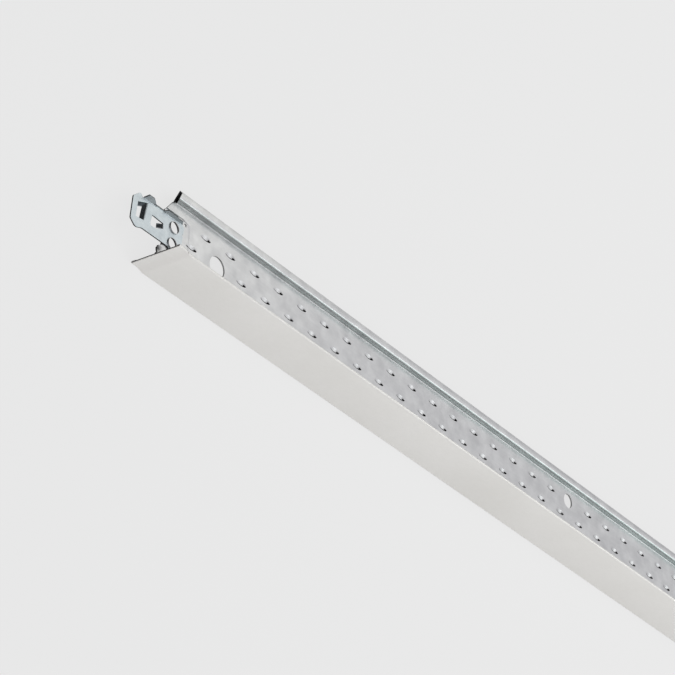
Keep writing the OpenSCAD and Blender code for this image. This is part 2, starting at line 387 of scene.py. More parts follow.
def fill(
    outline: Sequence[Flat], holes: Sequence[Sequence[Flat]], creases: Sequence[Sequence[Flat]]
) -> tuple[list[Flat], list[Corners]]:
    """Triangles between an outline and its holes.

    Args:
        outline: the closed outer loop.
        holes: closed loops that stay empty.
        creases: closed loops that only add edges.

    Returns:
        The points and the triangles, anticlockwise.
    """
    points: list[Vector] = []
    edges: list[tuple[int, int]] = []
    for loop in [outline, *holes, *creases]:
        first = len(points)
        points += [Vector(p) for p in loop]
        edges += [(first + i, first + (i + 1) % len(loop)) for i in range(len(loop))]
    placed, _, triangles, _, _, _ = delaunay_2d_cdt(points, edges, [], 0, SAME_POINT)
    outer, inner = Region(outline), [Region(hole) for hole in holes]
    kept = []
    for corners in triangles:
        x = sum(placed[i].x for i in corners) / 3
        z = sum(placed[i].y for i in corners) / 3
        if outer.holds(x, z) and not any(hole.holds(x, z) for hole in inner):
            kept.append(tuple(corners))
    used = sorted({i for corners in kept for i in corners})
    index = {old: new for new, old in enumerate(used)}
    return [tuple(placed[i]) for i in used], [tuple(index[i] for i in c) for c in kept]


class Shell:
    """The closed skins of one piece, gathered in the tee's millimetres."""

    def __init__(self) -> None:
        """Starts with no skin."""
        self.points: list[Solid] = []
        self.faces: list[Corners] = []
        self.kinds: list[Face] = []

    def skin(self, points: Sequence[Solid], faces: Sequence[Corners], kinds: Sequence[Face]) -> None:
        """Adds one closed skin, turned so that its faces point outwards.

        Args:
            points: its points.
            faces: its faces, all wound the same way round.
            kinds: what each face is.
        """
        middle = Vector(points[0])
        volume = 0.0
        for corners in faces:
            a, b, *rest = (Vector(points[i]) - middle for i in corners)
            for c in rest:
                volume += a.dot(b.cross(c))
                b = c
        first = len(self.points)
        self.points += points
        for corners, kind in zip(faces, kinds):
            wound = corners if volume > 0 else tuple(reversed(corners))
            self.faces.append(tuple(first + i for i in wound))
            self.kinds.append(kind)

    def sheet(
        self,
        outline: Sequence[Flat],
        holes: Sequence[Sequence[Flat]],
        creases: Sequence[Sequence[Flat]],
        front: Depth,
        back: Depth,
        ease: float,
        place: Place = lambda point: point,
    ) -> None:
        """Adds a sheet that lies along X and Z.

        Args:
            outline: its outer loop.
            holes: its holes.
            creases: loops along which its faces may bend.
            front: Y of its front face.
            back: Y of its back face.
            ease: how far its edges are rounded over.
            place: moves each point to where it belongs.
        """
        flat, triangles = fill(outline, holes, creases)
        # Sides run from one corner of a triangle to the next, and the rim's have no twin that runs back
        sides = {(c[i], c[i - 2]): True for c in triangles for i in range(3)}
        rim = [side for side in sides if side[::-1] not in sides]
        on_rim = {i for side in rim for i in side}
        eased = [ease if i in on_rim else 0.0 for i in range(len(flat))]
        count = len(flat)
        points = [place((x, front(x, z) + e, z)) for (x, z), e in zip(flat, eased)]
        points += [place((x, back(x, z) - e, z)) for (x, z), e in zip(flat, eased)]
        faces = list(triangles)
        faces += [tuple(i + count for i in reversed(corners)) for corners in triangles]
        walls = [(b, a, a + count, b + count) for a, b in rim]
        outer = Region(outline)
        kinds = [Face.SURFACE] * len(faces)
        # A wall is a hole's where the outline still goes round what lies beyond it
        for a, b in rim:
            middle = (Vector(flat[a]) + Vector(flat[b])) / 2
            along = Vector(flat[b]) - Vector(flat[a])
            beyond = middle + BEYOND * Vector((along.y, -along.x))
            kinds.append(Face.BORE if outer.holds(beyond.x, beyond.y) else Face.EDGE)
        self.skin(points, faces + walls, kinds)

    def loft(self, rings: Sequence[Sequence[Solid]], ends: Face = Face.EDGE, folded: bool = False) -> None:
        """Joins like closed rings into a skin with filled ends.

        Args:
            rings: the rings, each with the same number of points.
            ends: what the filled ends are.
            folded: whether each ring runs out along one side of a strip and back along its other side.
        """
        size = len(rings[0])
        points = [p for one in rings for p in one]
        faces = []
        for row in range(len(rings) - 1):
            for i in range(size):
                j = (i + 1) % size
                faces.append((row * size + i, row * size + j, (row + 1) * size + j, (row + 1) * size + i))
        kinds = [Face.SURFACE] * len(faces)
        last = (len(rings) - 1) * size
        caps: Sequence[Sequence[int]]
        if folded:
            caps = [(i, i + 1, size - 2 - i, size - 1 - i) for i in range(size // 2 - 1)]
        else:
            caps = tessellate_polygon([[Vector(p) for p in rings[0]]])
        way = self._way(rings[0], caps)
        faces += [tuple(reversed(c)) if way else tuple(c) for c in caps]
        faces += [tuple(last + i for i in (c if way else reversed(c))) for c in caps]
        kinds += [ends] * (2 * len(caps))
        self.skin(points, faces, kinds)

    @staticmethod
    def _way(loop: Sequence[Solid], caps: Sequence[Sequence[int]]) -> bool:
        """Whether the faces that fill a loop are wound the way that it runs.

        Args:
            loop: the closed loop.
            caps: its faces.

        Returns:
            True if they are.
        """
        steps = {(i, (i + 1) % len(loop)) for i in range(len(loop))}
        return any((c[k - 1], c[k]) in steps for c in caps for k in range(len(c)))

    def lathe(self, middle: Flat, profile: Sequence[Flat], steps: int, place: Place) -> None:
        """Turns a closed profile round an axis along Y.

        Args:
            middle: X and Z of the axis.
            profile: closed loop of radius and Y.
            steps: number of places round the axis.
            place: moves each point to where it belongs.
        """
        size = len(profile)
        points = []
        faces = []
        for turn in range(steps):
            a = 2 * math.pi * turn / steps
            across, up = math.cos(a), math.sin(a)
            points += [place((middle[0] + r * across, y, middle[1] + r * up)) for r, y in profile]
            on = (turn + 1) % steps
            for i in range(size):
                j = (i + 1) % size
                faces.append((turn * size + i, turn * size + j, on * size + j, on * size + i))
        self.skin(points, faces, [Face.SURFACE] * len(faces))

    def mesh(self, name: str, laid: Matrix, finishes: Sequence[bpy.types.Material]) -> bpy.types.Mesh:
        """The gathered skins as a mesh.

        Args:
            name: its name.
            laid: the matrix from millimetres to where it lies.
            finishes: the materials of the kinds of face, the last one also for kinds past it.

        Returns:
            The mesh, smooth with its real edges kept sharp.
        """
        mesh = bpy.data.meshes.new(name)
        mesh.from_pydata([laid @ Vector(p) for p in self.points], [], self.faces)
        for finish in finishes:
            mesh.materials.append(finish)
        for polygon, kind in zip(mesh.polygons, self.kinds):
            polygon.material_index = min(kind.value, len(finishes) - 1)
            polygon.use_smooth = True
        mesh.set_sharp_from_angle(angle=math.radians(SHARP_DEG))
        return mesh


def show(name: str, mesh: bpy.types.Mesh) -> bpy.types.Object:
    """Puts a mesh in the scene as an object at the origin.

    Args:
        name: the object's name.
        mesh: its mesh.

    Returns:
        The object.
    """
    piece = bpy.data.objects.new(name, mesh)
    bpy.context.scene.collection.objects.link(piece)
    return piece


# Finishes


def linear(colour: str) -> tuple[float, float, float, float]:
    """A colour from its sRGB hex value.

    Args:
        colour: six hex digits after a #.

    Returns:
        The linear colour with full alpha.
    """
    parts = [value / BYTE_MAX for value in bytes.fromhex(colour[1:])]
    toe = [p / SRGB_SLOPE for p in parts]
    curve = [((p + SRGB_OFFSET) / (1 + SRGB_OFFSET)) ** SRGB_POWER for p in parts]
    return (*(t if p <= SRGB_TOE else c for p, t, c in zip(parts, toe, curve)), 1.0)


def add_node(
    tree: bpy.types.NodeTree, kind: str, inputs: dict[str | int, Any] | None = None, **settings: Any
) -> bpy.types.Node:
    """Adds a node with its settings, values and links.

    Args:
        tree: where it goes.
        kind: Blender's name for the kind of node.
        inputs: a value or an output socket for each named or numbered input.
        settings: the node's own properties.

    Returns:
        The node.
    """
    node = tree.nodes.new(kind)
    for name, value in settings.items():
        setattr(node, name, value)
    for name, value in (inputs or {}).items():
        if isinstance(value, bpy.types.NodeSocket):
            tree.links.new(value, node.inputs[name])
        else:
            node.inputs[name].default_value = value
    return node


def per_metre(millimetres: float) -> float:
    """The texture scale that gives a pattern this size on metre coordinates."""
    return 1.0 / (millimetres * MM)


@dataclass(frozen=True)
class Finish:
    """A surface with a tint that wanders and a fine grain that moves its tint, roughness and relief."""

    name: str
    light: str
    dark: str
    metallic: float
    roughness: float
    roughness_spread: float
    cloud_mm: float
    grain_mm: Solid
    grain_share: float
    bump_mm: float
    cloud_detail: float = 3.0
    cloud_roughness: float = 0.55
    grain_detail: float = 4.0
    grain_roughness: float = 0.6
    # Parts of the noise's range that are spread over the whole tint and the whole roughness
    tint_range: Flat = (0.3, 0.7)
    grain_range: Flat = (0.25, 0.75)

    def material(self) -> bpy.types.Material:
        """The finish as a node material.

        Returns:
            The material.
        """
        made = bpy.data.materials.new(self.name)
        made.use_nodes = True
        tree = made.node_tree
        tree.nodes.clear()
        place = add_node(tree, "ShaderNodeTexCoord").outputs["Object"]
        cloud = add_node(
            tree,
            "ShaderNodeTexNoise",
            {
                "Vector": place,
                "Scale": per_metre(self.cloud_mm),
                "Detail": self.cloud_detail,
                "Roughness": self.cloud_roughness,
            },
        )
        stretched = add_node(
            tree,
            "ShaderNodeMapping",
            {"Vector": place, "Scale": tuple(per_metre(size) for size in self.grain_mm)},
        )
        grain = add_node(
            tree,
            "ShaderNodeTexNoise",
            {
                "Vector": stretched.outputs["Vector"],
                "Scale": 1.0,
                "Detail": self.grain_detail,
                "Roughness": self.grain_roughness,
            },
        )
        # Inputs 2 and 3 of a Mix node are its numbers, 6 and 7 its colours
        blend = add_node(
            tree,
            "ShaderNodeMix",
            {"Factor": self.grain_share, 2: cloud.outputs["Fac"], 3: grain.outputs["Fac"]},
            data_type="FLOAT",
        )
        spread = add_node(
            tree,
            "ShaderNodeMapRange",
            {"Value": blend.outputs[0], "From Min": self.tint_range[0], "From Max": self.tint_range[1]},
        )
        colour = add_node(
            tree,
            "ShaderNodeMix",
            {0: spread.outputs["Result"], 6: linear(self.dark), 7: linear(self.light)},
            data_type="RGBA",
        )
        rough = add_node(
            tree,
            "ShaderNodeMapRange",
            {
                "Value": grain.outputs["Fac"],
                "From Min": self.grain_range[0],
                "From Max": self.grain_range[1],
                "To Min": self.roughness - self.roughness_spread,
                "To Max": self.roughness + self.roughness_spread,
            },
        )
        bump = add_node(
            tree,
            "ShaderNodeBump",
            {"Height": grain.outputs["Fac"], "Distance": self.bump_mm * MM, "Strength": 1.0},
        )
        shader = add_node(
            tree,
            "ShaderNodeBsdfPrincipled",
            {
                "Base Color": colour.outputs[2],
                "Metallic": self.metallic,
                "Roughness": rough.outputs["Result"],
                "Normal": bump.outputs["Normal"],
            },
        )
        add_node(tree, "ShaderNodeOutputMaterial", {"Surface": shader.outputs["BSDF"]})
        return made


# Hot dip galvanised strip, skin passed: a soft neutral metal grey with rolling streaks along the tee.
# Real streaks lie about 0.2 mm apart; they are drawn 0.9 mm apart so that they show in the picture.
GALVANISED = Finish(
    name="galvanised_strip_skin_passed",
    light="#DADADA",
    dark="#BDBDBE",
    metallic=1.0,
    roughness=0.35,
    roughness_spread=0.06,
    cloud_mm=7.0,
    grain_mm=(18.0, 0.9, 0.9),
    grain_share=0.3,
    bump_mm=0.004,
)

# Polyester coil coating, roller applied: an even satin off-white with the faintest orange peel.
COIL_COAT = Finish(
    name="polyester_coil_coat_satin",
    light="#E6E4E1",
    dark="#DEDCD8",
    metallic=0.0,
    roughness=0.46,
    roughness_spread=0.04,
    cloud_mm=45.0,
    grain_mm=(2.4, 1.6, 1.6),
    grain_share=0.3,
    bump_mm=0.006,
)

# Zinc plated spring strip with a clear blue passivation: a cool pale grey, cloudy from handling.
ZINC_PLATE = Finish(
    name="zinc_plate_blue_passivated",
    light="#D3DADD",
    dark="#AFB7BC",
    metallic=1.0,
    roughness=0.36,
    roughness_spread=0.06,
    cloud_mm=3.5,
    grain_mm=(3.0, 1.2, 1.2),
    grain_share=0.5,
    bump_mm=0.004,
)

# Sheared edge of coated strip: bare steel with a torn face, darker than the zinc beside it, and darkened
# further to near black as painted shade on the cut ends and edges.
SHEARED_EDGE_AND_SHADE = Finish(
    name="sheared_steel_edge_and_painted_shade",
    light="#4A4947",
    dark="#31302E",
    metallic=1.0,
    roughness=0.55,
    roughness_spread=0.08,
    cloud_mm=4.0,
    grain_mm=(0.8, 0.8, 0.8),
    grain_share=0.6,
    bump_mm=0.01,
)

# Wall of a punched hole: burnished by the punch and smeared with zinc, nearly as pale as the strip.
PUNCHED_WALL = replace(
    SHEARED_EDGE_AND_SHADE,
    name="punched_wall_burnished",
    light="#DCDCDA",
    dark="#C4C4C2",
    roughness=0.45,
    bump_mm=0.006,
)

# Torn faces of a lanced stitch: painted nearly black as the shade deep in the dimple's tear.
TORN_LANCE_SHADE = replace(
    SHEARED_EDGE_AND_SHADE,
    name="torn_lance_painted_shade",
    light="#2A2928",
    dark="#1A1918",
    roughness=0.6,
)


# Pieces


@dataclass
class TeeStrip:
    """The roll formed tee: flange halves, stitched web, hollow bulb and the collars that hold the clips."""

    sizes: TeeSizes
    # Bulb: the crown of its sides, where they are creased, its lower corners, and the chords of its arcs
    crown: float = 0.1
    crease_share: float = 0.52
    low_corner: float = 1.25
    side_deg: float = 172.0
    bend_steps: int = 6
    corner_steps: int = 8
    layer_gap: float = 0.01
    # Web: the notch under the clip, the ease of its round holes, and the pilot hole
    notch_drop: float = 0.7
    notch_rise: float = 1.2
    edge_ease: float = 0.06
    pilot: Flat = (15.3, 22.2)
    pilot_side: float = 1.3
    # Seat: its box, the chamfer across its upper corner, and how its far edge fades
    press_run: float = 0.3
    seat_low: float = 6.0
    seat_high: float = 24.0
    seat_end: float = 17.75
    seat_corner: tuple[Flat, Flat] = ((17.75, 22.65), (14.0, 24.0))
    chamfer_at: Flat = (17.8, 22.6)
    chamfer_way: Flat = (1.4, 3.8)
    chamfer_l: float = 4.05
    fade_from: float = 14.4
    fade_to: float = 17.4
    fade_share: float = 0.7
    # Buckle of the web's foot, and the creases that let it bend
    flare: float = 1.3
    flare_l: float = 4.2
    flare_steps: int = 5
    flare_end: float = 4.5
    flare_low: float = 1.0
    flare_high: float = 7.5
    flare_first: float = 1.5
    past_end: float = 1.0
    shell: Shell = field(default_factory=Shell)

    def bulb_contour(self, inward: float) -> list[Flat]:
        """Half of the bulb's section, on the front, from the web to the middle of its top.

        Args:
            inward: how far inside the outer surface it lies.

        Returns:
            Points across and up.
        """
        s = self.sizes
        corner, low_corner = s.bulb_r - inward, self.low_corner - inward
        half_w = s.bulb_w / 2 - inward
        low, high = s.bulb_z + inward, s.tee_h - inward
        bend = (-s.strip_t - s.bend_r, s.bulb_z - s.bend_r)
        crease = s.bulb_z + self.crease_share * s.bulb_h
        points = arc(bend, s.bend_r + inward, 0.0, 90.0, self.bend_steps)
        low_middle = (-half_w + low_corner, low + low_corner)
        points += arc(low_middle, low_corner, 270.0, 180.0, self.corner_steps)
        points += [(-half_w, crease)]
        high_middle = (-half_w + self.crown + corner, high - corner)
        points += arc(high_middle, corner, self.side_deg, 90.0, self.bend_steps)
        points[0] = (-s.strip_t if inward == 0 else -self.layer_gap, points[0][1])
        return points

    def build_bulb(self) -> None:
        """Adds the hollow bulb with its cropped ends."""
        s = self.sizes
        outer, inner = self.bulb_contour(0.0), self.bulb_contour(s.strip_t)
        loop = outer + [(-y, z) for y, z in reversed(outer)]
        loop += [(-y, z) for y, z in inner] + inner[::-1]
        start = [(s.bulb_cut(y, z), y, z) for y, z in loop]
        end = [s.turned((s.bulb_cut(-y, z), -y, z)) for y, z in loop]
        self.shell.loft([start, end], folded=True)

    def build_flange(self) -> None:
        """Adds the two flange halves with their bends and lifted ends."""
        s = self.sizes
        bend = (-s.strip_t - s.bend_r, s.flange_top + s.bend_r)
        loop = arc(bend, s.bend_r, 0.0, -90.0, self.bend_steps)
        loop += [(-s.low_y, s.flange_top), (-s.low_y, s.cap_t)]
        loop += arc(bend, s.bend_r + s.strip_t, -90.0, 0.0, self.bend_steps)
        loop[-1] = (-self.layer_gap, loop[-1][1])
        for side in (1, -1):
            rings = [[(x, side * y, z + s.lift(x)) for y, z in loop] for x in s.stations()]
            self.shell.loft(rings, folded=True)

    def web_outline(self) -> list[Flat]:
        """The web's side view between its bends.

        Returns:
            The closed outline along and up.
        """
        s = self.sizes
        foot = s.flange_top + s.bend_r
        head = s.bulb_z - s.bend_r
        along = [x for x in s.stations() if s.foot_back < x < s.flange_l - s.foot_back]
        left = [
            (s.web_cut(head), head),
            (s.web_back, s.slant_z),
            (s.web_back, s.clip_z - self.notch_drop),
            (s.web_back / 2, s.foot_top + self.notch_rise),
            (s.foot_back, s.foot_top),
            (s.foot_back, foot + s.lift(s.foot_back)),
        ]
        right = [(s.flange_l - x, z) for x, z in reversed(left)]
        return left + [(x, foot + s.lift(x)) for x in along] + right

    def seat(self, x: float, z: float) -> float:
        """How far the web is swaged back at the first end to let the clip in.

        Args:
            x: place along the tee.
            z: height.

        Returns:
            The depth of the seat there.
        """
        (at_x, at_z), (way_x, way_z) = self.chamfer_at, self.chamfer_way
        slope = (z - at_z) * way_z + (x - at_x) * way_x
        outside = max(x - self.seat_end, self.seat_low - z, z - self.seat_high, slope / self.chamfer_l)
        share = min(max(-outside / self.press_run, 0.0), 1.0)
        fade = min(max((x - self.fade_from) / (self.fade_to - self.fade_from), 0.0), 1.0)
        return self.sizes.seat_depth * share * (1 - self.fade_share * fade)

    def foot_flare(self, x: float, z: float) -> float:
        """How far the web's foot buckles back at the first end, where the flange is lifted under it.

        Args:
            x: place along the tee.
            z: height.

        Returns:
            The depth of the buckle there.
        """
        low, high = self.sizes.flange_top + self.sizes.bend_r + self.sizes.joggle_h, self.sizes.clip_z
        if x >= self.flare_l or not low < z < high:
            return 0.0
        return self.flare * (1 - x / self.flare_l) ** 2 * math.sin(math.pi * (z - low) / (high - low))

    def press(self, x: float, z: float) -> float:
        """How far the web is pressed to the back, at either end."""
        away = self.sizes.flange_l - x
        return self.seat(x, z) + self.foot_flare(x, z) - self.seat(away, z) - self.foot_flare(away, z)

    def from_end(self, x: float, low: float, high: float) -> list[Flat]:
        """A box from past the first end to a place along the tee, anticlockwise."""
        return [(-self.past_end, low), (x, low), (x, high), (-self.past_end, high)]

    def seat_loops(self) -> list[list[Flat]]:
        """Loops along which the web may bend at both ends, round the seats and across the buckled feet.

        Returns:
            The closed loops along and up.
        """
        start, low, high = -self.past_end, self.seat_low, self.seat_high
        outer = [(start, low), (self.seat_end, low), *self.seat_corner, (start, high)]
        loops = [outer, inset(outer, self.press_run)]
        loops += [self.from_end(x, low, high) for x in (self.fade_from, self.fade_to)]
        for i in range(1, self.flare_steps + 1):
            loops.append(self.from_end(self.flare_l * i / self.flare_steps, self.flare_low, self.flare_high))
            loops.append(self.from_end(self.flare_end, self.flare_low, self.flare_first + i))
        mirrored = [[(self.sizes.flange_l - x, z) for x, z in reversed(loop)] for loop in loops]
        return loops + mirrored

    def pilots(self) -> list[list[Flat]]:
        """The small square hole at the corner of each seat.

        Returns:
            Two closed loops along and up.
        """
        (x, z), half = self.pilot, self.pilot_side / 2
        square = [(x - half, z - half), (x + half, z - half), (x + half, z + half), (x - half, z + half)]
        return [square, [(self.sizes.flange_l - u, v) for u, v in reversed(square)]]

    def build_web(self) -> None:
        """Adds the web with its holes, swaged seats and windows for the stitches."""
        s = self.sizes
        collar, stitch = Collar(s), Stitch(s)
        holes = [ring((x, s.hanger_z), s.hanger_d, HANGER_STEPS) for x in s.hanger_holes()]
        holes += [ring((x, s.upper_row_z), s.small_d, HOLE_STEPS) for x in s.small_holes()]
        rolled = [inset(hole, -self.edge_ease) for hole in holes]
        for x, z in collar.places():
            holes += [ring((place, z), collar.root_d, HOLE_STEPS) for place in (x, s.flange_l - x)]
        holes += self.pilots()
        holes += [[(x + dx, z + dz) for dx, dz in stitch.outline()] for x, z in s.stitches()]
        self.shell.sheet(
            self.web_outline(),
            holes,
            rolled + self.seat_loops(),
            lambda x, z: -s.strip_t + self.press(x, z),
            lambda x, z: s.strip_t + self.press(x, z),
            0.0,
        )

    def build_collars(self) -> None:
        """Adds the collars drawn through both clips and flared over them."""
        s = self.sizes
        collar = Collar(s)
        for place in (lambda point: point, s.turned):
            for middle in collar.places():
                self.shell.lathe(middle, collar.profile(), HOLE_STEPS, place)

    def build(self, finishes: Sequence[bpy.types.Material]) -> bpy.types.Object:
        """Builds the strip as one piece.

        Args:
            finishes: the materials of surface, sheared edge (darkened as painted shade) and hole wall.

        Returns:
            The piece.
        """
        self.build_flange()
        self.build_web()
        self.build_bulb()
        self.build_collars()
        return show("tee_strip", self.shell.mesh("tee_strip", self.sizes.laid(), finishes))


@dataclass(frozen=True)
class Collar:
    """A collar drawn out of the web through the clip, wide at its root and narrow at its beaded mouth."""

    sizes: TeeSizes
    # Places along the tee, and heights above the clip's lower edge
    spots: tuple[Flat, Flat] = ((8.1, 2.15), (8.5, 9.6))
    inner_d: float = 4.7
    root_d: float = 7.0
    wall: float = 0.2
    proud: float = 0.5
    waist: float = 0.5
    bead: float = 0.06
    bead_l: float = 0.18
    lap: float = 0.04
    ease: float = 0.25

    def places(self) -> list[Flat]:
        """Middles of the two collars of the first end."""
        return [(x, self.sizes.clip_z + up) for x, up in self.spots]

    def profile(self) -> list[Flat]:
        """The collar's wall, from its root in the web to its mouth.

        Returns:
            Closed loop of radius and Y.
        """
        inner, root = self.inner_d / 2, self.root_d / 2
        outer = inner + self.wall
        front = self.sizes.clip_back_y
        back = front + 2 * self.sizes.strip_t
        mouth = self.sizes.clip_y - self.proud
        bore = [(root + self.lap, back - self.lap / 2), (root - self.ease, back - self.ease)]
        bore += [(inner + self.waist, front), (inner, mouth + self.bead)]
        rim = [(inner + self.bead, mouth), (outer, mouth), (outer + self.bead, mouth + self.bead)]
        outside = [(outer, mouth + self.bead_l), (outer, self.sizes.clip_y)]
        seat = [(inner + self.waist + self.wall, front), (root + self.lap, front + self.lap / 2)]
        return bore + rim + outside + seat


@dataclass(frozen=True)
class Stitch:
    """One lanced stitch: a dimple torn along its length, deeper under the tear than above it."""

    sizes: TeeSizes
    count: int = 9
    over: float = 1.3
    under: float = 0.9
    dented: float = 0.65
    sunk: float = 1.4
    deepest: float = 0.74
    run_in: float = 0.9
    dent_lean: float = 1.15
    dip_power: float = 0.8
    shoulder: float = 0.55
    weld: float = 0.0001
    # Which of a row's faces are torn and take the painted shade: the step, and by the far end also the faces
    # on either side of it
    step_side: int = 2
    end_sides: tuple[int, int] = (1, 3)
    end_rows: int = 2

    def stations(self) -> list[float]:
        """Places along the stitch, as shares of its length."""
        return [i / (self.count - 1) for i in range(self.count)]

    def along(self, share: float) -> float:
        """Place from the stitch's middle at a share of its length, with the faint run-in before it."""
        length = self.sizes.stitch_l
        return length / 2 - (1 - share) * (length + self.run_in)

    def lens(self, share: float) -> float:
        """Height of the lens at a share of its length, against its greatest height."""
        return math.sqrt(max(1 - (2 * share - 1) ** 2, 0.0))

    def dent(self, share: float) -> float:
        """How far the dimple is sunk above the tear at a share of its length."""
        return self.dented * math.sin(math.pi * share**self.dent_lean)

    def dip(self, share: float) -> float:
        """How far the dimple is sunk under the tear.

        Args:
            share: place along it, as a share of its length.

        Returns:
            The depth there.
        """
        if share < self.deepest:
            return self.sunk * (share / self.deepest) ** self.dip_power
        return self.sunk * (1 - share) / (1 - self.deepest)

    def outline(self) -> list[Flat]:
        """The lens around its middle.

        Returns:
            The closed outline along and up, anticlockwise.
        """
        under = [(self.along(share), -self.under * self.lens(share)) for share in self.stations()]
        over = [(self.along(share), self.over * self.lens(share)) for share in self.stations()]
        return under + list(reversed(over[1:-1]))

    def mesh(self) -> bpy.types.Mesh:
        """The stitch as a plug that fills its window in the web.

        Returns:
            A mesh in the tee's millimetres with a few dozen faces.
        """
        face = self.sizes.strip_t
        rows: list[list[Solid]] = []
        for share in self.stations():
            x, dent, dip = self.along(share), self.dent(share), self.dip(share)
            top, low = self.over * self.lens(share), -self.under * self.lens(share)
            front = [(-face, top), (-face + self.shoulder * dent, top / 2)]
            front += [(-face + dent, 0.0), (-face + dip, 0.0)]
            back = [(-face, low), (face, low), (face + dip, 0.0), (face + dent, 0.0), (face, top)]
            rows.append([(x, y, z) for y, z in front + back])
        shell = Shell()
        shell.loft(rows)
        mesh = bpy.data.meshes.new("stitch_unit")
        mesh.from_pydata(shell.points, [], shell.faces)
        torn = mesh.attributes.new(TORN_SHADE_MASK, "BOOLEAN", "FACE")
        size, last = len(rows[0]), len(rows) - 2
        for index, flag in enumerate(torn.data):
            row, side = divmod(index, size)
            by_end = row > last - self.end_rows and side in self.end_sides
            flag.value = side == self.step_side or by_end
        welded = bmesh.new()
        welded.from_mesh(mesh)
        bmesh.ops.remove_doubles(welded, verts=welded.verts, dist=self.weld)
        welded.to_mesh(mesh)
        welded.free()
        return mesh


